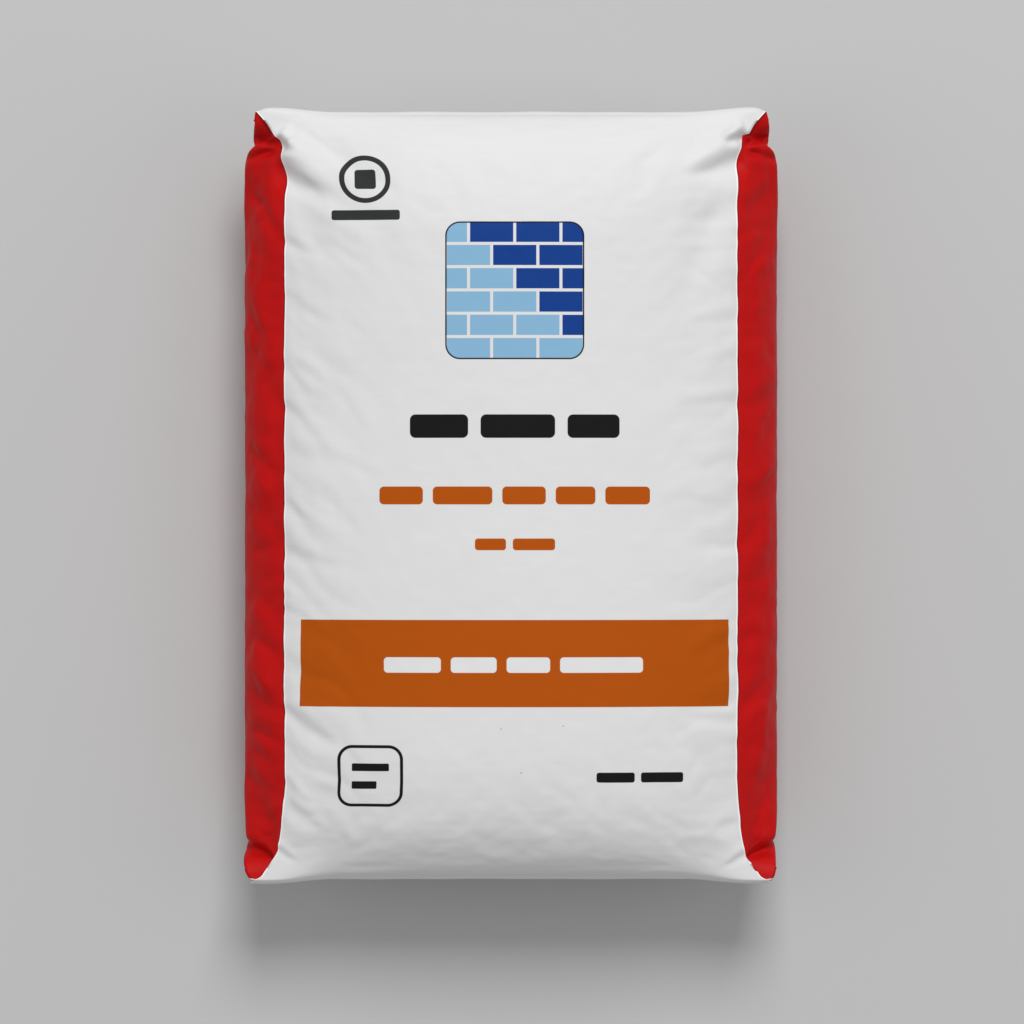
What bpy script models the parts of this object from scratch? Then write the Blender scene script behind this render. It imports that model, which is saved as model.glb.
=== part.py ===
"""A filled 50 kg cement sack lying on its back, printed face up.

One sheet is rolled into a tube with a gusset down each side, and each end of the tube is pinched
flat and glued. X runs across the sack, Y along it towards its head, Z up from the floor.
Metres. The origin is on the floor under the middle of the sack.
"""

import math

import bmesh
import bpy

# The filled sack as it lies
LENGTH = 0.627
WIDTH = 0.430
THICKNESS = 0.155

# The empty tube, laid flat
FACE_WIDTH = 0.390
GUSSET_WIDTH = 0.112
HALF_FACE = FACE_WIDTH / 2
GIRTH = 2 * (FACE_WIDTH + GUSSET_WIDTH)

# The glued strip across each end, bent down over its root
STRIP_PLIES = 0.0024
STRIP_REACH = 0.0040
STRIP_DROP = 0.0120
STRIP_BEND = math.radians(80)
SEAM_HEIGHT = 0.100
END_BOW = 0.0035
BOW_FADE = (0.14, 0.19)
BOW_RUN = 0.12

# The end wall under each seam, and the flat back
BACK_SLOPE = 0.062
BACK_POWER = 2.1
SOLE_SHARE = 0.72
FACE_CROWN_POWER = 2.8
ROUNDING = (0.018, 0.038)
FLAT_EAR = (0.014, 0.036)

# The sections of each end, from the seam inwards to where the sack is full: how far in from the seam,
# then the heights of the middle of the face, of the front crease and of the hem at the back
END_HEIGHTS = [
    (0.0012, 0.1054, 0.1012, 0.0986),
    (0.0035, 0.1108, 0.1013, 0.0984),
    (0.0075, 0.1175, 0.1015, 0.0980),
    (0.0120, 0.1224, 0.1018, 0.0966),
    (0.0170, 0.1270, 0.1022, 0.0925),
    (0.0220, 0.1310, 0.1027, 0.0820),
    (0.0270, 0.1343, 0.1033, 0.0705),
    (0.0320, 0.1371, 0.1040, 0.0595),
    (0.0400, 0.1408, 0.1052, 0.0444),
    (0.0500, 0.1447, 0.1066, 0.0355),
    (0.0620, 0.1483, 0.1080, 0.0280),
    (0.0800, 0.1520, 0.1095, 0.0245),
    (0.1050, THICKNESS, 0.1110, 0.0240),
]

# How far out from the middle the front crease, the gusset's fold and the hem lie in those sections
FOOT_WIDTHS = [
    (0.2035, 0.1575, 0.2108),
    (0.2002, 0.1620, 0.2122),
    (0.1982, 0.1700, 0.2136),
    (0.1950, 0.1800, 0.2141),
    (0.1912, 0.1920, 0.2142),
    (0.1888, 0.2040, 0.2136),
    (0.1876, 0.2105, 0.2122),
    (0.1866, 0.2125, 0.2090),
    (0.1853, 0.2138, 0.2025),
    (0.1842, 0.2143, 0.1980),
    (0.1834, 0.2147, 0.1942),
    (0.1828, 0.2149, 0.1925),
    (0.1825, WIDTH / 2, 0.1900),
]
HEAD_WIDTHS = [
    (0.2043, 0.1540, 0.2058),
    (0.2022, 0.1580, 0.2065),
    (0.1989, 0.1660, 0.2075),
    (0.1955, 0.1760, 0.2082),
    (0.1918, 0.1870, 0.2087),
    (0.1889, 0.1980, 0.2086),
    (0.1866, 0.2065, 0.2073),
    (0.1852, 0.2105, 0.2047),
    (0.1843, 0.2128, 0.2005),
    (0.1838, 0.2137, 0.1965),
    (0.1832, 0.2143, 0.1940),
    (0.1828, 0.2148, 0.1925),
    (0.1825, WIDTH / 2, 0.1900),
]
ENDS = {
    "foot": {"side": -1, "strip": 0.2098, "root": 0.2060, "widths": FOOT_WIDTHS},
    "head": {"side": 1, "strip": 0.2054, "root": 0.2050, "widths": HEAD_WIDTHS},
}

MIDDLE_ROWS = 9
FACE_COLUMNS = 20
GUSSET_COLUMNS = 8


def ease(start, end, value):
    """0 before start, 1 after end, and a smooth rise in between."""
    share = min(max((value - start) / (end - start), 0.0), 1.0)
    return share * share * (3 - 2 * share)


def mix(a, b, share):
    return a + (b - a) * share


def quarter_round(share, power):
    """A rise from 0 to 1 that starts upright and ends level."""
    left = 1 - min(max(share, 0.0), 1.0)
    return (1 - left**power) ** (1 / power)


def section(number, end):
    """The sizes of one cross-section of an end."""
    inset, crown_z, crease_z, hem_z = END_HEIGHTS[number]
    crease_x, fold_x, hem_x = end["widths"][number]
    return {
        "crown_z": crown_z,
        "crease_x": crease_x,
        "crease_z": crease_z,
        "fold_x": fold_x,
        "hem_x": hem_x,
        "hem_z": hem_z,
        "sole_z": mix(SEAM_HEIGHT, 0.0, quarter_round(inset / BACK_SLOPE, BACK_POWER)),
        "roundness": ease(*ROUNDING, inset),
        "flatness": 1 - ease(*FLAT_EAR, inset),
    }


def around(girth_place, sizes):
    """The x and z of a point of the sheet, by its place around the tube from the middle of the face."""
    side = math.copysign(1, girth_place)
    place = abs(girth_place)
    if place <= HALF_FACE:
        share = place / HALF_FACE
        fall = mix(share**FACE_CROWN_POWER, share**5 * (6 - 5 * share), sizes["flatness"])
        return side * sizes["crease_x"] * share, mix(sizes["crown_z"], sizes["crease_z"], fall)
    if place < HALF_FACE + GUSSET_WIDTH:
        share = (place - HALF_FACE) / GUSSET_WIDTH
        sharp = 1 - abs(2 * share - 1)
        bulge = mix(sharp, math.sin(math.pi * share), sizes["roundness"])
        middle = (sizes["crease_x"] + sizes["hem_x"]) / 2
        x = mix(sizes["crease_x"], sizes["hem_x"], share) + (sizes["fold_x"] - middle) * bulge
        return side * x, mix(sizes["crease_z"], sizes["hem_z"], share)
    share = (GIRTH / 2 - place) / HALF_FACE
    rise = max(share - SOLE_SHARE, 0.0) / (1 - SOLE_SHARE)
    return side * sizes["hem_x"] * share, mix(sizes["sole_z"], sizes["hem_z"], rise**2)


def bow_at(x):
    """How far the middle of each end draws in between its ears."""
    return END_BOW * (1 - ease(*BOW_FADE, abs(x)))


def on_body(girth_place, number, end):
    """A point of one of the end's cross-sections."""
    inset = END_HEIGHTS[number][0]
    x, z = around(girth_place, section(number, end))
    y = LENGTH / 2 - STRIP_REACH - bow_at(x) * (1 - ease(0.0, BOW_RUN, inset)) - inset
    return x, end["side"] * y, z


def on_middle(girth_place, y, end):
    """A point of a cross-section between the two ends."""
    x, z = around(girth_place, section(-1, end))
    return x, y, z


def on_strip(girth_place, out, end):
    """A point of the glued strip, where out goes from 0 at its root to 1 at its lip."""
    turn = STRIP_BEND * math.sqrt(out)
    place = abs(girth_place)
    if place <= HALF_FACE:
        across, layer = place / HALF_FACE, 1.0
    elif place < HALF_FACE + GUSSET_WIDTH:
        across, layer = 1.0, 1 - 2 * (place - HALF_FACE) / GUSSET_WIDTH
    else:
        across, layer = (GIRTH / 2 - place) / HALF_FACE, -1.0
    x = math.copysign(mix(end["root"], end["strip"], math.sqrt(out)) * across, girth_place)
    offset = layer * STRIP_PLIES / 2
    reach = (STRIP_REACH - STRIP_PLIES / 2) * math.sqrt(out)
    y = LENGTH / 2 - STRIP_REACH - bow_at(x) + reach + offset * math.sin(turn)
    z = SEAM_HEIGHT - STRIP_DROP * out + offset * math.cos(turn)
    return x, end["side"] * y, z


def column_places():
    """Places around the tube, from one edge of the sheet to the other, closer together by the creases."""
    face = [HALF_FACE * math.sin(math.pi / 2 * (2 * i / FACE_COLUMNS - 1)) for i in range(FACE_COLUMNS + 1)]
    gusset = [HALF_FACE + GUSSET_WIDTH * i / GUSSET_COLUMNS for i in range(1, GUSSET_COLUMNS + 1)]
    back = [GIRTH / 2 - place for place in reversed(face) if 0 <= place < HALF_FACE - 1e-9]
    right = gusset + sorted(back)
    return [-place for place in reversed(right)] + face + right


def row_rules():
    """One rule for each row of the sheet, from the lip at the foot to the lip at the head."""
    foot, head = ENDS["foot"], ENDS["head"]
    numbers = range(len(END_HEIGHTS))
    full = LENGTH / 2 - STRIP_REACH - END_HEIGHTS[-1][0]
    rows = [(on_strip, out, foot) for out in (1.0, 0.35, 0.0)]
    rows += [(on_body, number, foot) for number in numbers]
    rows += [(on_middle, mix(-full, full, i / MIDDLE_ROWS), foot) for i in range(1, MIDDLE_ROWS)]
    rows += [(on_body, number, head) for number in reversed(numbers)]
    return rows + [(on_strip, out, head) for out in (0.0, 0.35, 1.0)]


def plain_finish(name, colour, roughness):
    material = bpy.data.materials.new(name)
    material.use_nodes = True
    shader = material.node_tree.nodes["Principled BSDF"]
    shader.inputs["Base Color"].default_value = (*colour, 1.0)
    shader.inputs["Roughness"].default_value = roughness
    shader.inputs["Metallic"].default_value = 0.0
    return material


def make_sack():
    """Rolls a sheet into the tube, closes its two lips, and colours the gussets."""
    columns, rows = column_places(), row_rules()
    bm = bmesh.new()
    bmesh.ops.create_grid(bm, x_segments=len(columns) - 1, y_segments=len(rows) - 1, size=1.0)
    gusset_faces = []
    for face in bm.faces:
        middle = face.calc_center_median()
        column = int((middle.x + 1) / 2 * (len(columns) - 1))
        place = abs(columns[column] + columns[column + 1]) / 2
        if HALF_FACE < place < HALF_FACE + GUSSET_WIDTH:
            gusset_faces.append(face)
    for face in gusset_faces:
        face.material_index = 1
    for vert in bm.verts:
        column = round((vert.co.x + 1) / 2 * (len(columns) - 1))
        row = round((vert.co.y + 1) / 2 * (len(rows) - 1))
        rule, step, end = rows[row]
        vert.co = rule(columns[column], step, end)
    bmesh.ops.remove_doubles(bm, verts=bm.verts, dist=1e-5)
    bmesh.ops.holes_fill(bm, edges=[edge for edge in bm.edges if edge.is_boundary], sides=0)
    bmesh.ops.recalc_face_normals(bm, faces=bm.faces)

    mesh = bpy.data.meshes.new("sack")
    bm.to_mesh(mesh)
    bm.free()
    mesh.materials.append(plain_finish("white_sheet", (0.80, 0.80, 0.79), 0.45))
    mesh.materials.append(plain_finish("red_gusset_print", (0.45, 0.012, 0.012), 0.42))
    mesh.shade_smooth()
    mesh.set_sharp_from_angle(angle=math.radians(35))
    sack = bpy.data.objects.new("sack", mesh)
    bpy.context.scene.collection.objects.link(sack)
    return sack


for leftover in list(bpy.data.objects):
    bpy.data.objects.remove(leftover)
make_sack()
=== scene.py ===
"""A filled cement sack lying on its back, seen from straight above its printed face.

One sheet of paper is rolled into a tube with a gusset down each side and pinched flat at both ends. The
sheet is laid over a first, smooth filled form, a cloth run under the pressure of the powder gives it its
real folds, and the print follows the sheet through its UV map, which is in metres of paper.
"""

import math

import bmesh
import bpy
import numpy as np
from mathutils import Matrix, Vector, noise


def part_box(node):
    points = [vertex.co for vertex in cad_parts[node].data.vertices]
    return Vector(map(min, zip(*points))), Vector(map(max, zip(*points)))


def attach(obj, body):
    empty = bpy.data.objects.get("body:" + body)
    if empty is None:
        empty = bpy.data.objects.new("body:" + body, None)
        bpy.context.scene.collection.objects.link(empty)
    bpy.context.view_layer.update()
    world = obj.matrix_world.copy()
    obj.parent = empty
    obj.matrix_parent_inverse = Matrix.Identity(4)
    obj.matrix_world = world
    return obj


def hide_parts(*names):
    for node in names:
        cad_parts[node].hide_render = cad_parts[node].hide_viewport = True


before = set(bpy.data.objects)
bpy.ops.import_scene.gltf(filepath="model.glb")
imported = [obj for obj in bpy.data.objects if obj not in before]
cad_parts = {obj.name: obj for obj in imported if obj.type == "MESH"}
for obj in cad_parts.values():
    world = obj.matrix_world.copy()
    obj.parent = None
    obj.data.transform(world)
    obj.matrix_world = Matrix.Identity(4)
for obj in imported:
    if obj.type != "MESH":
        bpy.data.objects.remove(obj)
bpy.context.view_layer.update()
low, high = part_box("sack")
LENGTH = high.y - low.y

# The sheet: its columns from the middle of the face round to the middle of the back, and its rows
FACE_COLUMNS = 36
GUSSET_COLUMNS = 20
BACK_COLUMNS = 24
BODY_ROWS = 132
ROW_CROWDING = 0.45
STRIP_ROWS = 6
FACE_PRINT = 0.1825
GUSSET_WIDTH = 0.1145
BACK_PRINT = 0.1900
GUSSET_FOLD = FACE_PRINT + GUSSET_WIDTH / 2
HEM = FACE_PRINT + GUSSET_WIDTH
HALF_GIRTH = HEM + BACK_PRINT

# The glued strip across each end, bent down over its root
STRIP_REACH = 0.0040
STRIP_RADIUS = 0.0100
STRIP_LENGTH = 0.0125
STRIP_HALF_PLIES = 0.0006
STRIP_ROOT = math.radians(50)
STRIP_BEND = math.radians(88)
STRIP_FLUTTER = 0.0012
SEAM_HEIGHT = 0.1040
SEAM_Y = LENGTH / 2 - STRIP_REACH

# How far the middle of each end draws in, where that fades out across and along the sack, and how far
# the strip's corners tuck in at the foot and at the head
END_BOW = 0.0035
BOW_FADE = (0.14, 0.19)
BOW_RUN = 0.12
CORNER_TUCK = {-1: 0.0008, 1: 0.0038}
TUCK_WIDTH = 0.0075

# The first filled form, a little wider and lower than the sack that it settles into
FORM_CROWN = 0.1575
FORM_SOLE = 0.002
BACK_SLOPE = 0.062
BACK_POWER = 2.1
SOLE_SHARE, HEM_SHARE = 0.7, 0.3
FACE_FALL = 2.8

# Where the gusset goes from a sharp fold to a round belly, and the face from a flat ear to its crown
ROUNDING = (0.018, 0.038)
FLAT_EAR = (0.014, 0.036)

# The form's own soft wrinkles: where they start in from the seam, how high they are on the face and on the
# gusset, how far they reach there, and their slant on the left and on the right
WRINKLE_START = (0.012, 0.05)
FACE_WRINKLE, FACE_WRINKLE_REACH = 0.0026, 0.055
GUSSET_WRINKLE, GUSSET_WRINKLE_REACH = 0.0013, 0.09
WRINKLE_SLANT = {-1: 0.55, 1: 0.15}

# The middle of the face, from the seam inwards: how far in from the seam, and how high
FACE_END = [
    (0.0000, 0.1046), (0.0012, 0.1090), (0.0024, 0.1124), (0.0070, 0.1195),
    (0.0105, 0.1242), (0.0150, 0.1290), (0.0230, 0.1362), (0.0310, 0.1422),
    (0.0390, 0.1468), (0.0550, 0.1518), (0.0720, 0.1548), (0.1000, 0.1575),
]

# The flattened ears, from the seam inwards: how far in from the seam, how far out from the middle the
# front crease, the gusset's fold and the hem lie there, and how high the crease and the hem do
FOOT_EAR = [
    (0.0000, 0.2072, 0.1550, 0.2098, 0.1046, 0.1034),
    (0.0020, 0.2012, 0.1590, 0.2115, 0.1047, 0.1032),
    (0.0065, 0.1988, 0.1680, 0.2134, 0.1049, 0.1026),
    (0.0137, 0.1938, 0.1790, 0.2147, 0.1053, 0.0995),
    (0.0186, 0.1902, 0.1875, 0.2148, 0.1057, 0.0930),
    (0.0234, 0.1882, 0.2000, 0.2148, 0.1062, 0.0830),
    (0.0300, 0.1868, 0.2142, 0.2136, 0.1070, 0.0670),
    (0.0400, 0.1850, 0.2152, 0.2035, 0.1083, 0.0480),
    (0.0600, 0.1826, 0.2158, 0.1945, 0.1105, 0.0320),
    (0.0800, 0.1808, 0.2170, 0.1925, 0.1116, 0.0270),
    (0.1000, 0.1810, 0.2182, 0.1920, 0.1120, 0.0260),
]
HEAD_EAR = [
    (0.0000, 0.2056, 0.1520, 0.2054, 0.1046, 0.1034),
    (0.0073, 0.1990, 0.1650, 0.2074, 0.1049, 0.1024),
    (0.0140, 0.1940, 0.1800, 0.2084, 0.1053, 0.0990),
    (0.0186, 0.1910, 0.1900, 0.2087, 0.1057, 0.0930),
    (0.0234, 0.1880, 0.2000, 0.2085, 0.1062, 0.0840),
    (0.0266, 0.1863, 0.2082, 0.2078, 0.1066, 0.0760),
    (0.0315, 0.1846, 0.2134, 0.2056, 0.1072, 0.0640),
    (0.0400, 0.1838, 0.2156, 0.2005, 0.1083, 0.0480),
    (0.0600, 0.1824, 0.2168, 0.1945, 0.1105, 0.0320),
    (0.0800, 0.1812, 0.2174, 0.1925, 0.1116, 0.0270),
    (0.1000, 0.1810, 0.2182, 0.1920, 0.1120, 0.0260),
]

# The camera, straight above, and the height at which its picture is to scale
CAMERA_X = 0.00081
CAMERA_Y = -0.0133
CAMERA_DISTANCE = 6.0
SCALE_HEIGHT = 0.085
PICTURE_WIDTH = 0.826

# How sharp the front crease and the hem stay away from the seams
CREASE_SHARPNESS, HEM_SHARPNESS = 0.9, 0.35

# The powder inside
POWDER_LITRES = 36.8
POWDER_DENSITY = 1.45

# The paper as cloth, the floor that it settles on, and how long it takes
SETTLING_FRAMES = 16
FLOOR_GAP = 0.002
FLOOR_FRICTION = 5.0
PAPER_CLOTH = {
    "quality": 8,
    "mass": 0.008,
    "tension_stiffness": 60,
    "compression_stiffness": 60,
    "shear_stiffness": 20,
    "bending_stiffness": 2.0,
    "tension_damping": 20,
    "compression_damping": 20,
    "shear_damping": 10,
    "bending_damping": 2,
    "air_damping": 3,
    "vertex_group_mass": "seams",
    "pin_stiffness": 50,
    "use_pressure": True,
    "use_pressure_volume": True,
    "target_volume": POWDER_LITRES / 1000,
    "pressure_factor": 48,
    "fluid_density": POWDER_DENSITY,
}


def ease(start, end, value):
    """0 before start, 1 after end, and a smooth rise in between."""
    share = min(max((value - start) / (end - start), 0.0), 1.0)
    return share * share * (3 - 2 * share)


def mix(a, b, share):
    return a + (b - a) * share


def quarter_round(share, power):
    """A rise from 0 to 1 that starts upright and ends level."""
    left = 1 - min(max(share, 0.0), 1.0)
    return (1 - left**power) ** (1 / power)


def smooth_columns(stops, columns, window):
    """Columns of a table as smooth curves over evenly spaced stops."""
    fine = np.linspace(stops[0], stops[-1], 401)
    weights = np.hanning(window + 2)[1:-1]
    weights /= weights.sum()
    curves = []
    for column in columns:
        padded = np.pad(np.interp(fine, stops, column), window // 2, "reflect", reflect_type="odd")
        curves.append(np.convolve(padded, weights, "valid"))
    return fine, curves


FACE_INSETS, FACE_STEPS = np.array(FACE_END).T
ROOTS, (FACE_HEIGHTS,) = smooth_columns(np.sqrt(FACE_INSETS), [FACE_STEPS], 41)


def crown_height(inset):
    return float(np.interp(math.sqrt(max(inset, 0.0)), ROOTS, FACE_HEIGHTS))


def paper_along():
    """Insets from the seam, and the length of paper up to each down the middle of the face."""
    insets = np.linspace(0.0, 1.0, 2000) ** 2 * SEAM_Y
    heights = np.array([crown_height(inset) for inset in insets])
    steps = np.hypot(np.diff(insets), np.diff(heights))
    return insets, np.concatenate([[0.0], np.cumsum(steps)])


INSETS, PAPER = paper_along()
HALF_PAPER = PAPER[-1]


def print_y(seen):
    """How far along the sheet, from its middle, the point of the face lies that the camera sees there."""
    closer = 1 - (FORM_CROWN - SCALE_HEIGHT) / CAMERA_DISTANCE
    y = CAMERA_Y + (seen - CAMERA_Y) * closer
    return math.copysign(HALF_PAPER - float(np.interp(SEAM_Y - abs(y), INSETS, PAPER)), y)


def inset_of(along):
    return float(np.interp(HALF_PAPER - abs(along), PAPER, INSETS))


def smooth_ear(rows):
    """An ear's table as smooth curves: insets, and the places of the front crease, fold and hem at each."""
    stops, *columns = np.array(rows).T
    return smooth_columns(stops, columns, 25)


EARS = {-1: smooth_ear(FOOT_EAR), 1: smooth_ear(HEAD_EAR)}


def wrinkle(side, reach, y):
    """Soft wrinkles that leave a front crease at a slant, where reach is how far they are from it."""
    run = y + WRINKLE_SLANT[side] * abs(reach)
    broad = noise.noise(Vector((run / 0.034, reach / 0.11, 3.1 * side)))
    fine = noise.noise(Vector((run / 0.015, reach / 0.05, 7.7 * side)))
    return broad + 0.35 * fine


def on_form(place, along):
    """Where a point of the sheet lies on the first filled form."""
    side = -1 if place < 0 else 1
    end = 1 if along > 0 else -1
    inset = inset_of(along)
    half = STRIP_HALF_PLIES
    crown = max(crown_height(inset), SEAM_HEIGHT + half)
    sole = mix(SEAM_HEIGHT, FORM_SOLE, quarter_round(inset / BACK_SLOPE, BACK_POWER))
    sole = min(sole, SEAM_HEIGHT - half)
    stops, curves = EARS[end]
    crease_x, fold_x, hem_x, crease_z, hem_z = (float(np.interp(inset, stops, curve)) for curve in curves)
    crease_z = max(crease_z, SEAM_HEIGHT + half)
    hem_z = min(hem_z, SEAM_HEIGHT - half)
    fold_z = (crease_z + hem_z) / 2
    round_out = ease(*ROUNDING, inset)
    flat_ear = 1 - ease(*FLAT_EAR, inset)

    place = abs(place)
    y = end * (SEAM_Y - inset)
    depth = ease(*WRINKLE_START, inset)
    if place <= FACE_PRINT:
        share = place / FACE_PRINT
        fall = mix(share**FACE_FALL, share**5 * (6 - 5 * share), flat_ear)
        x, z = crease_x * share, mix(crown, crease_z, fall)
        reach = FACE_PRINT - place
        fold = wrinkle(side, reach, y) * math.exp(-((reach / FACE_WRINKLE_REACH) ** 2)) * depth
        z += FACE_WRINKLE * fold
    elif place < HEM:
        share = (place - FACE_PRINT) / GUSSET_WIDTH * 2
        upper = share <= 1
        t = share if upper else share - 1
        turn = math.pi / 2 * t
        if upper:
            x = mix(crease_x, fold_x, mix(t, math.sin(turn), round_out))
            z = mix(crease_z, fold_z, t)
        else:
            x = mix(fold_x, hem_x, mix(t, 1 - math.cos(turn), round_out))
            z = mix(fold_z, hem_z, t)
        reach = place - FACE_PRINT
        fold = wrinkle(side, -reach, y) * math.exp(-((reach / GUSSET_WRINKLE_REACH) ** 2)) * depth
        x += GUSSET_WRINKLE * fold * math.sin(math.pi * min(share, 1.9) / 2)
    else:
        share = (HALF_GIRTH - place) / BACK_PRINT
        rise = max((share - SOLE_SHARE) / HEM_SHARE, 0.0)
        x, z = hem_x * share, mix(sole, hem_z, rise**2)
    bow = END_BOW * (1 - ease(*BOW_FADE, abs(x))) * (1 - ease(0.0, BOW_RUN, inset))
    return side * x, y - end * bow, z


def on_strip(place, beyond, end):
    """A point of the glued strip, where beyond is how far past its root the point lies on the paper."""
    crease_x, folded_x, strip_x = (HEAD_EAR if end > 0 else FOOT_EAR)[0][1:4]
    out = min(beyond / STRIP_LENGTH, 1.0)
    corner = mix(crease_x, strip_x, ease(0.0, 0.35, out))
    side = math.copysign(1, place)
    place = abs(place)
    if place <= FACE_PRINT:
        x, layer = corner * place / FACE_PRINT, 1.0
    elif place < GUSSET_FOLD:
        share = (place - FACE_PRINT) / (GUSSET_FOLD - FACE_PRINT)
        x, layer = mix(corner, folded_x, share), mix(1.0, 0.3, min(share * 4, 1))
    elif place < HEM:
        share = (HEM - place) / (HEM - GUSSET_FOLD)
        x, layer = mix(strip_x, folded_x, share), -mix(1.0, 0.3, min(share * 4, 1))
    else:
        x, layer = strip_x * (HALF_GIRTH - place) / BACK_PRINT, -1.0
    turn = min(STRIP_ROOT + beyond / STRIP_RADIUS, STRIP_BEND)
    straight = max(beyond - STRIP_RADIUS * (STRIP_BEND - STRIP_ROOT), 0.0)
    flutter = STRIP_FLUTTER * out * noise.noise(Vector((side * x / 0.045, end * 5.0, 0.0)))
    offset = layer * STRIP_HALF_PLIES
    reach = STRIP_RADIUS * (math.sin(turn) - math.sin(STRIP_ROOT)) + straight * math.cos(turn)
    drop = STRIP_RADIUS * (math.cos(STRIP_ROOT) - math.cos(turn)) + straight * math.sin(turn)
    y = SEAM_Y + reach + offset * math.sin(turn)
    z = SEAM_HEIGHT - drop + offset * math.cos(turn)
    tuck = CORNER_TUCK[end] * ease(strip_x - TUCK_WIDTH, strip_x, x)
    bow = END_BOW * (1 - ease(*BOW_FADE, x)) + tuck
    return side * x, end * (y - bow + flutter), z


def column_places():
    """Places round the tube, in metres of paper from the middle of the face, from edge to edge."""
    face = [FACE_PRINT * i / FACE_COLUMNS for i in range(FACE_COLUMNS + 1)]
    gusset = [FACE_PRINT + GUSSET_WIDTH * i / GUSSET_COLUMNS for i in range(1, GUSSET_COLUMNS + 1)]
    back = [HALF_GIRTH - BACK_PRINT * (1 - i / BACK_COLUMNS) for i in range(1, BACK_COLUMNS + 1)]
    right = face + gusset + back
    return [-place for place in reversed(right[1:])] + right


def row_places():
    """Places along the sheet from its middle, closer together towards the seams."""
    steps = [2 * i / BODY_ROWS - 1 for i in range(BODY_ROWS + 1)]
    body = [HALF_PAPER * mix(step, math.sin(math.pi / 2 * step), ROW_CROWDING) for step in steps]
    strip = [HALF_PAPER + STRIP_LENGTH * i / STRIP_ROWS for i in range(1, STRIP_ROWS + 1)]
    return [-place for place in reversed(strip)] + body + strip


def hold(place, inset):
    """How firmly the seams and the flattened ears are held while the sheet settles."""
    if inset < 1e-6:
        return 1.0
    on_ear = ease(FACE_PRINT - 0.035, FACE_PRINT - 0.010, place) * (1 - ease(HEM + 0.005, HEM + 0.030, place))
    return on_ear * (1 - ease(0.010, 0.028, inset))


def lay_sheet():
    """A grid whose UV map is in metres of paper, laid over the filled form and closed down its back."""
    columns, rows = column_places(), row_places()
    bm = bmesh.new()
    paper = bm.loops.layers.uv.new("paper")
    pinned = bm.verts.layers.deform.verify()
    fold = bm.edges.layers.float.new("crease_edge")
    bmesh.ops.create_grid(bm, x_segments=len(columns) - 1, y_segments=len(rows) - 1, size=1.0)
    where = {}
    for vert in bm.verts:
        column = round((vert.co.x + 1) / 2 * (len(columns) - 1))
        row = round((vert.co.y + 1) / 2 * (len(rows) - 1))
        where[vert] = (columns[column], rows[row])
    for face in bm.faces:
        for loop in face.loops:
            loop[paper].uv = where[loop.vert]
    for edge in bm.edges:
        (place, along), (other, _) = (where[vert] for vert in edge.verts)
        if place == other:
            near_seam = 1 - ease(0.02, 0.06, HALF_PAPER - abs(along))
            if abs(abs(place) - FACE_PRINT) < 1e-9:
                edge[fold] = max(CREASE_SHARPNESS, near_seam)
            elif abs(abs(place) - HEM) < 1e-9:
                edge[fold] = max(HEM_SHARPNESS, near_seam)
            elif abs(abs(place) - GUSSET_FOLD) < 1e-9:
                edge[fold] = near_seam
    for vert, (place, along) in where.items():
        beyond = abs(along) - HALF_PAPER
        if beyond > 1e-6:
            vert.co = on_strip(place, beyond, math.copysign(1, along))
        else:
            vert.co = on_form(place, along)
        vert[pinned][0] = hold(abs(place), -beyond)
    bmesh.ops.remove_doubles(bm, verts=bm.verts, dist=1e-6)
    bmesh.ops.recalc_face_normals(bm, faces=bm.faces)
    mesh = bpy.data.meshes.new("sack_sheet")
    bm.to_mesh(mesh)
    bm.free()
    sack = bpy.data.objects.new("cement_sack", mesh)
    bpy.context.scene.collection.objects.link(sack)
    sack.vertex_groups.new(name="seams")
    return sack


def applied(sack):
    """Keeps the shape that the sack's modifiers give, and takes the modifiers off."""
    shape = sack.evaluated_get(bpy.context.evaluated_depsgraph_get())
    mesh = bpy.data.meshes.new_from_object(shape)
    sack.modifiers.clear()
    sack.data = mesh


def flat_square(name, size):
    """A level square in the scene, for a floor."""
    bm = bmesh.new()
    bmesh.ops.create_grid(bm, x_segments=1, y_segments=1, size=size)
    mesh = bpy.data.meshes.new(name)
    bm.to_mesh(mesh)
    bm.free()
    square = bpy.data.objects.new(name, mesh)
    bpy.context.scene.collection.objects.link(square)
    return square


def settle(sack):
    """Lets the sheet settle under the powder's pressure, on a floor, with both seams held."""
    floor = flat_square("press_floor", 1.0)
    floor.modifiers.new("floor", "COLLISION")
    floor.collision.thickness_outer = FLOOR_GAP
    floor.collision.cloth_friction = FLOOR_FRICTION

    cloth = sack.modifiers.new("cloth", "CLOTH")
    for name, value in PAPER_CLOTH.items():
        setattr(cloth.settings, name, value)
    cloth.collision_settings.distance_min = FLOOR_GAP
    cloth.point_cache.frame_start = 1
    cloth.point_cache.frame_end = SETTLING_FRAMES
    for step in range(1, SETTLING_FRAMES + 1):
        bpy.context.scene.frame_set(step)
    applied(sack)
    bpy.data.objects.remove(floor)
    bpy.context.scene.frame_set(1)
    sole = min(vert.co.z for vert in sack.data.vertices)
    for vert in sack.data.vertices:
        vert.co.z -= sole


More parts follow.
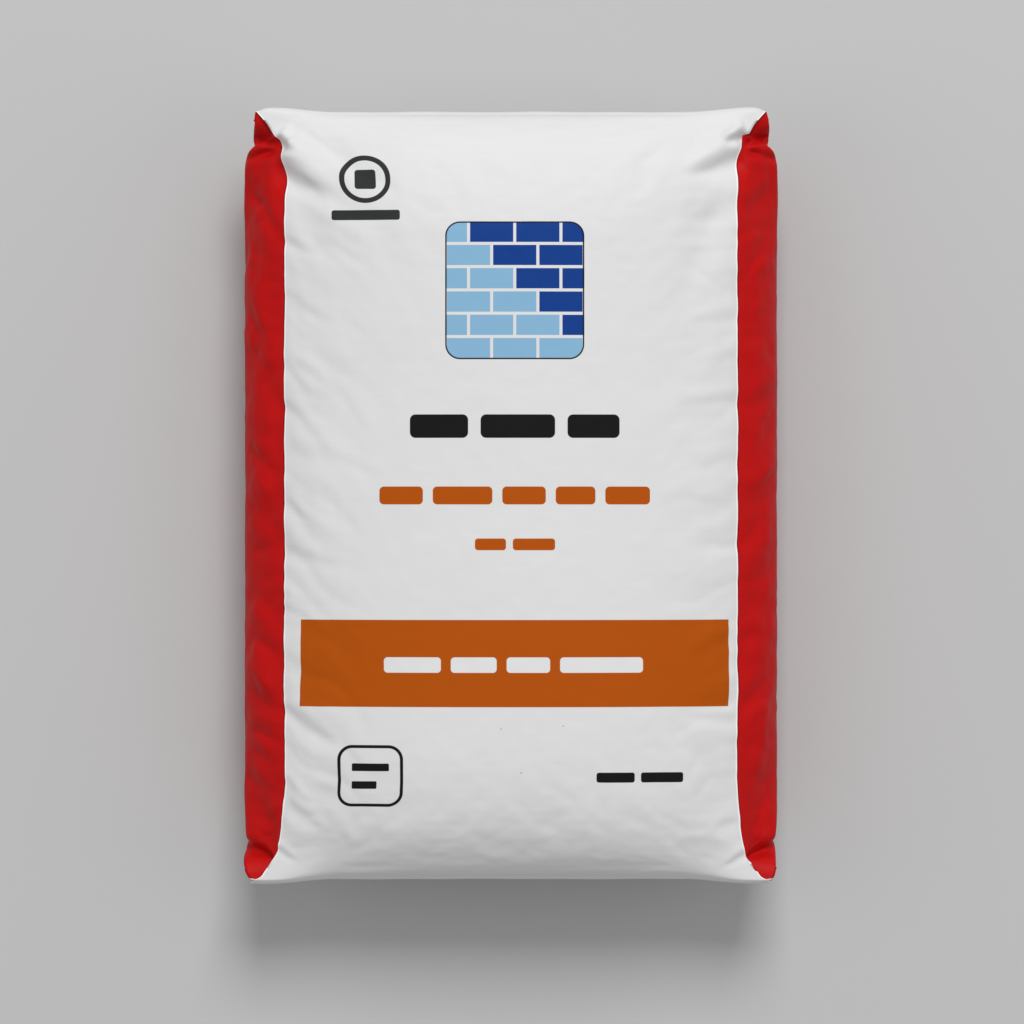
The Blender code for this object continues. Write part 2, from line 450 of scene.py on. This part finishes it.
# Folds pressed into the face: the two ends of the line where each falls away from the window, its half
# width at the first end and its depth
FOLDS = [
    (-0.187, 0.289, -0.171, 0.275, 0.0050, 0.0056),
    (-0.187, 0.266, -0.152, 0.244, 0.0110, 0.0022),
    (-0.185, 0.271, -0.140, 0.237, 0.0115, 0.0050),
    (-0.153, 0.224, -0.104, 0.193, 0.0060, 0.0005),
    (-0.181, 0.208, -0.156, 0.192, 0.0050, 0.0006),
    (-0.181, 0.164, -0.146, 0.138, 0.0060, 0.0005),
    (-0.170, 0.108, -0.144, 0.087, 0.0050, 0.0006),
    (-0.180, 0.075, -0.144, 0.037, 0.0050, 0.0007),
    (-0.154, 0.038, -0.096, 0.014, 0.0060, 0.0005),
    (-0.181, -0.002, -0.162, -0.021, 0.0045, 0.0008),
    (-0.179, -0.041, -0.132, -0.058, 0.0060, 0.0011),
    (-0.181, -0.087, -0.161, -0.100, 0.0040, 0.0008),
    (-0.180, -0.168, -0.134, -0.204, 0.0065, 0.0011),
    (-0.182, -0.226, -0.161, -0.247, 0.0040, 0.0008),
    (-0.178, -0.246, -0.144, -0.272, 0.0050, 0.0009),
    (-0.188, -0.282, -0.171, -0.295, 0.0032, 0.0012),
    (0.188, 0.293, 0.167, 0.283, 0.0052, 0.0060),
    (0.185, 0.278, 0.138, 0.259, 0.0105, 0.0060),
    (0.181, 0.243, 0.144, 0.216, 0.0080, 0.0008),
    (0.181, 0.200, 0.135, 0.197, 0.0050, 0.0005),
    (0.181, 0.148, 0.141, 0.140, 0.0060, 0.0007),
    (0.181, 0.116, 0.144, 0.108, 0.0060, 0.0005),
    (0.181, 0.080, 0.130, 0.075, 0.0050, 0.0007),
    (0.181, 0.033, 0.143, 0.021, 0.0060, 0.0005),
    (0.179, -0.028, 0.136, -0.040, 0.0100, 0.0006),
    (0.179, -0.178, 0.136, -0.176, 0.0045, 0.0008),
    (0.181, -0.258, 0.159, -0.268, 0.0060, 0.0007),
    (0.188, -0.286, 0.169, -0.299, 0.0035, 0.0012),
    (-0.174, 0.306, -0.149, 0.309, 0.0025, 0.0005),
    (0.153, 0.305, 0.140, 0.311, 0.0025, 0.0005),
]

# Dips pressed down beside the ears, the same on both sides: the outer and the inner end of the line of
# each, how far it spreads towards the head and towards the foot, and its depth
DIPS = [
    (0.2106, 0.2925, 0.1848, 0.2807, 0.0034, 0.0032, 0.0078),
    (0.2106, 0.2724, 0.1840, 0.2788, 0.0032, 0.0034, 0.0052),
    (0.2139, -0.2862, 0.1890, -0.2895, 0.0120, 0.0030, 0.0088),
]

# The gussets' straight outline: its half width, where it fades out towards the ears, and how far it is
# measured in how many stretches
OUTLINE = high.x + 0.0006
OUTLINE_FADE = (0.220, 0.260)
OUTLINE_RUN, OUTLINE_STOPS = 0.262, 80

# How far from the front crease the face and the fine creases are worked, and where both ends are left calm
FACE_WORKED = 0.09
CALM_ENDS = (0.010, 0.045)
FINE_HEIGHT, FINE_REACH = 0.00035, 0.038

# How wide a gusset looks from above
GUSSET_SEEN = 0.033


def eased(start, end, values):
    """The same rise as ease, for an array."""
    share = np.clip((values - start) / (end - start), 0.0, 1.0)
    return share * share * (3 - 2 * share)


def straighten_sides(points):
    """Draws the outline of both gussets straight between the ears, as the photograph shows it."""
    stops = np.linspace(-OUTLINE_RUN, OUTLINE_RUN, OUTLINE_STOPS)
    middles = (stops[1:] + stops[:-1]) / 2
    stretch = np.digitize(points[:, 1], stops)
    across = np.abs(points[:, 0])
    fade = 1 - eased(*OUTLINE_FADE, np.abs(points[:, 1]))
    for side in (-1, 1):
        on_side = points[:, 0] * side > FACE_PRINT
        outline = np.array([across[on_side & (stretch == i)].max() for i in range(1, len(stops))])
        shift = np.interp(points[:, 1], middles, OUTLINE - outline) * fade
        share = (across - FACE_PRINT) / (np.interp(points[:, 1], middles, outline) - FACE_PRINT)
        points[:, 0] += np.where(on_side, side * shift * np.clip(share, 0.0, 1.0), 0.0)


def read_sheet(mesh):
    """Arrays of the points and normals of a mesh, and of each point's place on the paper."""
    count = len(mesh.vertices)
    corners = len(mesh.loops)
    points, normals = np.empty(count * 3), np.empty(count * 3)
    mesh.vertices.foreach_get("co", points)
    mesh.vertex_normals.foreach_get("vector", normals)
    owners, sheet = np.empty(corners, dtype=np.int32), np.empty(corners * 2)
    mesh.loops.foreach_get("vertex_index", owners)
    mesh.uv_layers["paper"].data.foreach_get("uv", sheet)
    places = np.empty((count, 2))
    places[owners] = sheet.reshape(-1, 2)
    return points.reshape(-1, 3), normals.reshape(-1, 3), places


def face_folds(points):
    """How far each point is raised or lowered by the folds of the table, on a broad face."""
    shift = np.zeros(len(points))
    for start_x, start_y, end_x, end_y, width, depth in FOLDS:
        run = Vector((end_x - start_x, end_y - start_y))
        unit = run.normalized()
        up = Vector((-unit.y, unit.x)) if unit.x > 0 else Vector((unit.y, -unit.x))
        from_start = points[:, :2] - (start_x, start_y)
        share = from_start @ unit / run.length
        narrow = 1 - 0.55 * np.clip(share, 0.0, 1.0)
        off = from_start @ up / (width * narrow)
        fade = eased(-0.10, 0.05, share) * (1 - eased(0.6, 1.05, share)) * narrow
        shift += depth * fade * off * np.exp(0.5 - off * off / 2)
    return shift


def press_dips(points):
    """Lowers the sheet along the dips beside the ears."""
    for outer_x, outer_y, inner_x, inner_y, headwards, footwards, depth in DIPS:
        across = np.abs(points[:, 0])
        line = outer_y + (across - outer_x) * (inner_y - outer_y) / (inner_x - outer_x)
        off = points[:, 1] - line
        spread = np.where(off > 0, headwards, footwards)
        fade = eased(inner_x - 0.002, inner_x + 0.010, across) * eased(0.030, 0.075, points[:, 2])
        points[:, 2] -= depth * fade * np.exp(-((off / spread) ** 2))


def press_folds(mesh):
    """Presses the folds into the face, with dry creases along both front edges and in the end walls."""
    points, normals, places = read_sheet(mesh)
    straighten_sides(points)
    reach = FACE_PRINT - np.abs(places[:, 0])
    inset = HALF_PAPER - np.abs(places[:, 1])
    shift = face_folds(points) * eased(-0.014, 0.0, reach) * (inset > 0)
    calm = eased(*CALM_ENDS, inset)
    for i in np.nonzero((reach < -GUSSET_WIDTH) & (inset > 0))[0]:
        x, y, z = points[i]
        shift[i] += end_crumpled(x, y, z) * ease(0.006, 0.024, inset[i])
    for i in np.nonzero((reach > -GUSSET_WIDTH) & (reach < FACE_WORKED) & (inset > 0))[0]:
        x, y, _ = points[i]
        side, away = (-1 if x < 0 else 1), abs(reach[i])
        shift[i] += calm[i] * crumpled(side, reach[i], y)
        near = math.exp(-((away / FINE_REACH) ** 2))
        shift[i] += FINE_HEIGHT * calm[i] * fine_creases(side, away, y) * near
    points += normals * shift[:, None]
    press_dips(points)
    mesh.vertices.foreach_set("co", points.ravel())


def fine_creases(side, away, y):
    """Noise of fine creases that leave a front edge at a slant."""
    slant = 0.55 if side < 0 else 0.12
    return noise.noise(Vector(((y + slant * away) / 0.0085, away / 0.032, 9.0 if side < 0 else 4.0)))


def end_crumpled(x, y, z):
    """Creases in the end walls, fanned out from the corners and gone where the back lies flat."""
    end = 3.0 if y > 0 else 8.0
    fan = abs(x) / 0.060 - (0.10 - z) / 0.050
    sharp = abs(noise.noise(Vector((fan, z / 0.090, end + (1.0 if x < 0 else 0.0)))))
    broad = noise.noise(Vector((x / 0.080, z / 0.060, end + 20.0)))
    return (0.0045 * (sharp - 0.25) + 0.0020 * broad) * ease(0.004, 0.030, z)


def crumpled(side, reach, y):
    """The dry creases of the paper beside a front edge: sharp valleys with flat, slanting faces between."""
    away = abs(reach)
    if reach < 0:
        seen = GUSSET_SEEN * math.sin(math.pi / 2 * min(away / (GUSSET_WIDTH / 2), 1.0))
        bent = y - 0.35 * seen + 0.007 * noise.noise(Vector((y / 0.05, seen / 0.02, 20.0 * side)))
        place = Vector((bent / 0.034, seen / 0.036, 5.0 + 3.0 * side))
        strength = 0.0068 * mix(0.30, 1.0, ease(0.0, 0.012, away)) * mix(1.0, 0.10, ease(0.022, 0.052, away))
    else:
        slant = 0.75 if side < 0 else 0.25
        bent = y + slant * away + 0.012 * noise.noise(Vector((y / 0.06, away / 0.03, 20.0 * side)))
        place = Vector((bent / 0.034, away / 0.075, 5.0 + 3.0 * side))
        strength = 0.0027 * mix(0.70, 1.0, ease(0.0, 0.010, away)) * (1 - ease(0.020, 0.085, away))
    broad = abs(noise.noise(place))
    small = abs(noise.noise(place * 2.3 + Vector((11.0, 4.0, 0.0))))
    return strength * (broad + 0.35 * small - 0.25)


def finish_sheet(sack):
    """Smooths the settled sheet, closes the lip of each strip and sharpens the front creases."""
    finer = sack.modifiers.new("finer", "SUBSURF")
    finer.levels = finer.render_levels = 1
    applied(sack)
    press_folds(sack.data)
    bm = bmesh.new()
    bm.from_mesh(sack.data)
    paper = bm.loops.layers.uv["paper"]
    lips = [edge for edge in bm.edges if edge.is_boundary]
    uv_at = {}
    for edge in lips:
        for loop in edge.link_loops[0].face.loops:
            uv_at[loop.vert.index] = loop[paper].uv.copy()
    filled = bmesh.ops.holes_fill(bm, edges=lips, sides=0)["faces"]
    ends = bmesh.ops.triangulate(bm, faces=filled, ngon_method="EAR_CLIP")["faces"]
    for face in ends:
        for loop in face.loops:
            loop[paper].uv = uv_at[loop.vert.index]
    bmesh.ops.recalc_face_normals(bm, faces=bm.faces)
    for edge in bm.edges:
        corners = [loop for face in edge.link_faces for loop in face.loops if loop.vert in edge.verts]
        places = [abs(loop[paper].uv.x) for loop in corners]
        if max(abs(place - FACE_PRINT) for place in places) < 1e-6:
            edge.smooth = False
    for face in ends:
        for edge in face.edges:
            edge.smooth = False
    bm.to_mesh(sack.data)
    bm.free()
    for polygon in sack.data.polygons:
        polygon.use_smooth = True


# Colours of the paper and its inks, and a painted highlight and a painted shade for the front creases
WHITE = (0.72, 0.72, 0.72)
# Painted highlight: a lighter white along each front crease, standing in for the light that the fold catches
CREASE_HIGHLIGHT_WHITE = (0.93, 0.92, 0.92)
RED = (0.485, 0.005, 0.005)
# Painted shade: a darker red along each front crease, standing in for the fold's shadow
FOLD_SHADE_RED = (0.20, 0.002, 0.004)
ORANGE = (0.425, 0.078, 0.002)
DARK_BLUE = (0.006, 0.045, 0.24)
LIGHT_BLUE = (0.23, 0.43, 0.62)
BLACK = (0.008, 0.008, 0.008)
GREY_MARK = (0.03, 0.033, 0.033)
SPECK_GREY = (0.30, 0.30, 0.31)

# The finish of the paper, and its fine grain: how much of it the bump shows, and how high it is
PAPER_ROUGHNESS, PAPER_SHEEN = 0.5, 0.08
GRAIN_SHOWN, GRAIN_HEIGHT = 0.25, 0.0003

# The print, in metres: middle across, middle along, width, height and corner radius of each bar
TITLE_BARS = [(-0.058, 0.056, 0.047, 0.019, 0.0045), (0.0055, 0.056, 0.060, 0.019, 0.0045),
              (0.0665, 0.056, 0.042, 0.019, 0.0045)]
UPPER_ROW_BARS = [(-0.0885, 0.0, 0.035, 0.0145, 0.0035), (-0.039, 0.0, 0.048, 0.0145, 0.0035),
                  (0.0105, 0.0, 0.035, 0.0145, 0.0035), (0.0520, 0.0, 0.032, 0.0145, 0.0035),
                  (0.0940, 0.0, 0.036, 0.0145, 0.0035)]
LOWER_ROW_BARS = [(-0.0165, -0.0395, 0.025, 0.0095, 0.0025), (0.0185, -0.0395, 0.034, 0.0095, 0.0025)]
BAND = (0.003, -0.1358, 0.344, 0.0705, 0.0002)
BAND_BARS = [(-0.0795, -0.137, 0.046, 0.0125, 0.003), (-0.0300, -0.137, 0.037, 0.0125, 0.003),
             (0.0140, -0.137, 0.035, 0.0125, 0.003), (0.0730, -0.137, 0.067, 0.0125, 0.003)]
FOOTNOTE_BARS = [(0.0845, -0.229, 0.031, 0.0085, 0.002), (0.1220, -0.229, 0.034, 0.0085, 0.002)]
EMBLEM = (0.003, 0.166, 0.112, 0.112, 0.012)
SQUARE_MARK = (-0.1135, -0.228, 0.053, 0.052, 0.012)
SQUARE_MARK_BARS = [(-0.1135, -0.2205, 0.030, 0.0065, 0.001), (-0.1185, -0.2355, 0.020, 0.0065, 0.001)]
ROUND_MARK = (-0.117, 0.2585, 0.041, 0.041, 0.0204)
ROUND_MARK_BARS = [(-0.117, 0.2585, 0.017, 0.017, 0.0025), (-0.117, 0.2278, 0.055, 0.0085, 0.002)]
SPECKS = [(-0.0080, -0.1885, 0.0012, 0.0009, 0.0004), (0.0420, -0.1862, 0.0010, 0.0010, 0.0004),
          (0.0082, -0.2248, 0.0009, 0.0012, 0.0004)]

# What is printed, the lowest layer first: bars, the width of their line where they are only outlined, colour
PRINT_LAYERS = [
    ([EMBLEM], 0.0012, BLACK),
    (TITLE_BARS + FOOTNOTE_BARS, None, BLACK),
    ([SQUARE_MARK], 0.0026, BLACK),
    (SQUARE_MARK_BARS, None, BLACK),
    ([ROUND_MARK], 0.0042, GREY_MARK),
    (ROUND_MARK_BARS, None, GREY_MARK),
    (UPPER_ROW_BARS + LOWER_ROW_BARS + [BAND], None, ORANGE),
    (BAND_BARS, None, WHITE),
    (SPECKS, None, SPECK_GREY),
]

# How soft the edge of the ink is, and the emblem's bricks: height of a course, length of a brick, joint
INK_EDGE = 0.0004
COURSE_HEIGHT, BRICK_LENGTH, JOINT = 0.0186, 0.0372, 0.0024

# The red of the gussets: how far it stays from the strips, and how much further back it ends at the foot's
# corners, over how much of the paper's width
RED_END = 0.0004
CORNER_CUT, CORNER_RUN = 0.0057, 0.011


def number(tree, rule, first, second=None, third=None, clamp=False):
    """A Math node, fed with sockets or plain numbers."""
    node = tree.nodes.new("ShaderNodeMath")
    node.operation = rule
    node.use_clamp = clamp
    for socket, value in zip(node.inputs, (first, second, third)):
        if value is None:
            continue
        if isinstance(value, bpy.types.NodeSocket):
            tree.links.new(value, socket)
        else:
            socket.default_value = value
    return node.outputs[0]


def group_of(name, inputs, outputs):
    tree = bpy.data.node_groups.new(name, "ShaderNodeTree")
    for label, kind in inputs:
        tree.interface.new_socket(label, in_out="INPUT", socket_type=kind)
    for label, kind in outputs:
        tree.interface.new_socket(label, in_out="OUTPUT", socket_type=kind)
    return tree, tree.nodes.new("NodeGroupInput").outputs, tree.nodes.new("NodeGroupOutput").inputs


def make_bar_group():
    """A printed bar with rounded corners: 1 on the ink, 0 off it."""
    inputs = [("place", "NodeSocketVector"), ("middle", "NodeSocketVector"),
              ("half", "NodeSocketVector"), ("corner", "NodeSocketFloat")]
    tree, given, result = group_of("printed_bar", inputs, [("ink", "NodeSocketFloat")])

    def vector(rule, first, second=None):
        node = tree.nodes.new("ShaderNodeVectorMath")
        node.operation = rule
        tree.links.new(first, node.inputs[0])
        if second is not None:
            tree.links.new(second, node.inputs[1])
        return node.outputs["Value" if rule == "LENGTH" else "Vector"]

    away = vector("ABSOLUTE", vector("SUBTRACT", given["place"], given["middle"]))
    gap = vector("SUBTRACT", away, given["half"])
    reach = vector("LENGTH", vector("MAXIMUM", gap))
    apart = tree.nodes.new("ShaderNodeSeparateXYZ")
    tree.links.new(gap, apart.inputs[0])
    inside = number(tree, "MINIMUM", number(tree, "MAXIMUM", apart.outputs["X"], apart.outputs["Y"]), 0.0)
    signed = number(tree, "SUBTRACT", number(tree, "ADD", reach, inside), given["corner"])
    edge = number(tree, "MULTIPLY_ADD", signed, -1 / INK_EDGE, 0.5, clamp=True)
    tree.links.new(edge, result["ink"])
    return tree


def bar(tree, group, place, shape):
    """Ink of one printed bar, whose middle along is given as it is seen from above."""
    node = tree.nodes.new("ShaderNodeGroup")
    node.node_tree = group
    tree.links.new(place, node.inputs["place"])
    middle_x, middle_y, width, height, corner = shape
    top, bottom = print_y(middle_y + height / 2), print_y(middle_y - height / 2)
    node.inputs["middle"].default_value = (middle_x, (top + bottom) / 2, 0.0)
    node.inputs["half"].default_value = (width / 2 - corner, (top - bottom) / 2 - corner, 0.0)
    node.inputs["corner"].default_value = corner
    return node.outputs["ink"]


def any_of(tree, inks):
    total = inks[0]
    for ink in inks[1:]:
        total = number(tree, "MAXIMUM", total, ink)
    return total


def over(tree, ink, under, colour):
    """Lays a colour over another where there is ink."""
    node = tree.nodes.new("ShaderNodeMix")
    node.data_type = "RGBA"
    tree.links.new(ink, node.inputs["Factor"])
    for socket, value in ((node.inputs["A"], under), (node.inputs["B"], colour)):
        if isinstance(value, bpy.types.NodeSocket):
            tree.links.new(value, socket)
        else:
            socket.default_value = (*value, 1.0)
    return node.outputs["Result"]


def paper_noise(tree, across, along, stretch, scale, detail):
    """Noise on the sheet, drawn out across it by stretch."""
    place = tree.nodes.new("ShaderNodeCombineXYZ")
    tree.links.new(number(tree, "MULTIPLY", across, 1 / stretch), place.inputs["X"])
    tree.links.new(along, place.inputs["Y"])
    node = tree.nodes.new("ShaderNodeTexNoise")
    node.inputs["Scale"].default_value = scale
    node.inputs["Detail"].default_value = detail
    tree.links.new(place.outputs[0], node.inputs["Vector"])
    return node.outputs["Fac"]


def make_brick_group():
    """The emblem: a small wall of bricks, dark ones stepping down over light ones."""
    inputs = [("across", "NodeSocketFloat"), ("along", "NodeSocketFloat")]
    outputs = [("joint", "NodeSocketFloat"), ("dark", "NodeSocketFloat")]
    tree, given, result = group_of("brick_wall", inputs, outputs)
    course = number(tree, "DIVIDE", given["along"], COURSE_HEIGHT)
    level = number(tree, "FLOOR", course)
    shift = number(tree, "MULTIPLY", number(tree, "MODULO", number(tree, "ABSOLUTE", level), 2.0), 0.5)
    run = number(tree, "ADD", number(tree, "DIVIDE", given["across"], BRICK_LENGTH), shift)
    brick = number(tree, "FLOOR", run)
    in_course = number(tree, "ABSOLUTE", number(tree, "SUBTRACT", number(tree, "FRACT", course), 0.5))
    in_brick = number(tree, "ABSOLUTE", number(tree, "SUBTRACT", number(tree, "FRACT", run), 0.5))
    bed = number(tree, "GREATER_THAN", in_course, 0.5 - JOINT / 2 / COURSE_HEIGHT)
    upright = number(tree, "GREATER_THAN", in_brick, 0.5 - JOINT / 2 / BRICK_LENGTH)
    tree.links.new(number(tree, "MAXIMUM", bed, upright), result["joint"])
    step = number(tree, "ADD", number(tree, "MULTIPLY", level, 0.5), number(tree, "SUBTRACT", brick, shift))
    tree.links.new(number(tree, "GREATER_THAN", step, -0.3), result["dark"])
    return tree


def plain_paper(tree, across, along, streaks):
    """The white of the bare paper, with faint streaks across it and broad clouds."""
    clouds = paper_noise(tree, across, along, 2.5, 16.0, 2.0)
    tone = number(tree, "MULTIPLY_ADD", streaks, 0.035, 0.965)
    tone = number(tree, "MULTIPLY", tone, number(tree, "MULTIPLY_ADD", clouds, 0.05, 0.965))
    grey = tree.nodes.new("ShaderNodeCombineColor")
    for name in ("Red", "Green", "Blue"):
        tree.links.new(tone, grey.inputs[name])
    white = tree.nodes.new("ShaderNodeMix")
    white.data_type = "RGBA"
    white.blend_type = "MULTIPLY"
    white.inputs["Factor"].default_value = 1.0
    white.inputs["A"].default_value = (*WHITE, 1.0)
    tree.links.new(grey.outputs[0], white.inputs["B"])
    return white.outputs["Result"]


def print_face(tree, place, across, along, colour):
    """Lays the emblem and then the layers of bars over the colour of the paper."""
    group = make_bar_group()

    def bars(shapes):
        return any_of(tree, [bar(tree, group, place, shape) for shape in shapes])

    wall = tree.nodes.new("ShaderNodeGroup")
    wall.node_tree = make_brick_group()
    tree.links.new(number(tree, "SUBTRACT", across, EMBLEM[0]), wall.inputs["across"])
    tree.links.new(number(tree, "SUBTRACT", along, print_y(EMBLEM[1])), wall.inputs["along"])
    bricks = number(tree, "MULTIPLY", bars([EMBLEM]), number(tree, "SUBTRACT", 1.0, wall.outputs["joint"]))
    dark_bricks = number(tree, "MULTIPLY", bricks, wall.outputs["dark"])
    colour = over(tree, bricks, colour, LIGHT_BLUE)
    colour = over(tree, dark_bricks, colour, DARK_BLUE)
    for shapes, line, ink in PRINT_LAYERS:
        shown = bars(shapes)
        if line is not None:
            holes = [(middle_x, middle_y, width - 2 * line, height - 2 * line, max(corner - line, 0.0002))
                     for middle_x, middle_y, width, height, corner in shapes]
            shown = number(tree, "SUBTRACT", shown, bars(holes), clamp=True)
        colour = over(tree, shown, colour, ink)
    return colour


def stripe(tree, reach, start, end):
    """Ink of a stripe that runs the whole length of the sheet, between two places out from the middle."""
    rise = number(tree, "MULTIPLY_ADD", reach, 1 / INK_EDGE, 0.5 - start / INK_EDGE, clamp=True)
    fall = number(tree, "MULTIPLY_ADD", reach, -1 / INK_EDGE, 0.5 + end / INK_EDGE, clamp=True)
    return number(tree, "MULTIPLY", rise, fall)


def print_gussets(tree, across, along, colour):
    """Lays the red of the gussets over the colour, with a painted highlight in white and a painted shade in
    dark red along each crease.
    """
    reach = number(tree, "ABSOLUTE", across)
    corner = number(tree, "MULTIPLY_ADD", reach, 1 / CORNER_RUN, -(HEM - CORNER_RUN) / CORNER_RUN, clamp=True)
    corner = number(tree, "MULTIPLY", corner, number(tree, "LESS_THAN", along, 0.0))
    red_end = number(tree, "MULTIPLY_ADD", corner, -CORNER_CUT, HALF_PAPER - RED_END)
    before_strip = number(tree, "LESS_THAN", number(tree, "ABSOLUTE", along), red_end)
    on_gusset = number(tree, "MULTIPLY", stripe(tree, reach, FACE_PRINT, HEM + 0.002), before_strip)
    # Painted highlight: a thin lighter white line along the crease
    crease_highlight = stripe(tree, reach, FACE_PRINT - 0.0011, FACE_PRINT)
    # Painted shade: a thin darker red line on the gusset beside the crease
    fold_shade = stripe(tree, reach, FACE_PRINT - 0.0005, FACE_PRINT + 0.0008)
    colour = over(tree, crease_highlight, colour, CREASE_HIGHLIGHT_WHITE)
    colour = over(tree, on_gusset, colour, RED)
    return over(tree, number(tree, "MULTIPLY", fold_shade, on_gusset), colour, FOLD_SHADE_RED)


def paper_relief(tree, across, along, streaks):
    """The fine grain of the paper, as a bumped normal."""
    grain = paper_noise(tree, across, along, 1.6, 900.0, 2.0)
    height = number(tree, "MULTIPLY_ADD", streaks, 0.6, number(tree, "MULTIPLY", grain, 0.4))
    bump = tree.nodes.new("ShaderNodeBump")
    bump.inputs["Strength"].default_value = GRAIN_SHOWN
    bump.inputs["Distance"].default_value = GRAIN_HEIGHT
    tree.links.new(height, bump.inputs["Height"])
    return bump.outputs[0]


def make_paper():
    """Coated white paper with its print, read from the sheet's own UV map."""
    material = bpy.data.materials.new("printed_paper")
    material.use_nodes = True
    tree = material.node_tree
    shader = tree.nodes["Principled BSDF"]
    sheet = tree.nodes.new("ShaderNodeUVMap")
    sheet.uv_map = "paper"
    apart = tree.nodes.new("ShaderNodeSeparateXYZ")
    tree.links.new(sheet.outputs[0], apart.inputs[0])
    across, along = apart.outputs["X"], apart.outputs["Y"]

    streaks = paper_noise(tree, across, along, 14.0, 260.0, 3.0)
    colour = plain_paper(tree, across, along, streaks)
    colour = print_face(tree, sheet.outputs[0], across, along, colour)
    colour = print_gussets(tree, across, along, colour)
    tree.links.new(colour, shader.inputs["Base Color"])
    tree.links.new(paper_relief(tree, across, along, streaks), shader.inputs["Normal"])
    shader.inputs["Roughness"].default_value = PAPER_ROUGHNESS
    shader.inputs["Specular IOR Level"].default_value = PAPER_SHEEN
    return material


# The studio: the name, place, size and power of each light, all aimed at the sack
FLOOR_GREY = (0.50, 0.50, 0.50)
SKY_STRENGTH = 0.41
LIGHT_TARGET = (0, 0, 0.05)
LIGHTS = [
    ("window", (0.8, 5.0, 6.4), 3.4, 445),
    ("left_fill", (-3.0, 0.0, 2.6), 2.5, 14),
    ("right_fill", (3.0, 0.0, 2.6), 2.5, 12),
]


def area_light(name, place, size, power):
    lamp = bpy.data.lights.new(name, "AREA")
    lamp.size = size
    lamp.energy = power
    holder = bpy.data.objects.new(name, lamp)
    holder.location = place
    holder.rotation_euler = (Vector(place) - Vector(LIGHT_TARGET)).to_track_quat("Z", "Y").to_euler()
    bpy.context.scene.collection.objects.link(holder)


def make_studio():
    """A pale floor, a broad window light past the head, two faint fills and an even white sky."""
    floor = flat_square("studio_floor", 12.0)
    material = bpy.data.materials.new("floor_paint")
    material.use_nodes = True
    shader = material.node_tree.nodes["Principled BSDF"]
    shader.inputs["Base Color"].default_value = (*FLOOR_GREY, 1.0)
    shader.inputs["Roughness"].default_value = 0.7
    floor.data.materials.append(material)
    for light in LIGHTS:
        area_light(*light)
    world = bpy.data.worlds.new("studio")
    world.use_nodes = True
    sky = world.node_tree.nodes["Background"]
    sky.inputs["Color"].default_value = (1, 1, 1, 1)
    sky.inputs["Strength"].default_value = SKY_STRENGTH
    bpy.context.scene.world = world


def make_camera():
    camera = bpy.data.cameras.new("overhead")
    camera.sensor_width = 36
    camera.lens = camera.sensor_width * CAMERA_DISTANCE / PICTURE_WIDTH
    camera.clip_end = 50
    holder = bpy.data.objects.new("overhead", camera)
    holder.location = (CAMERA_X, CAMERA_Y, CAMERA_DISTANCE + SCALE_HEIGHT)
    bpy.context.scene.collection.objects.link(holder)
    bpy.context.scene.camera = holder


sack = lay_sheet()
settle(sack)
finish_sheet(sack)
sack.data.materials.append(make_paper())
make_studio()
make_camera()
bpy.context.scene.view_settings.view_transform = "Standard"
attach(sack, "root")
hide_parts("sack")
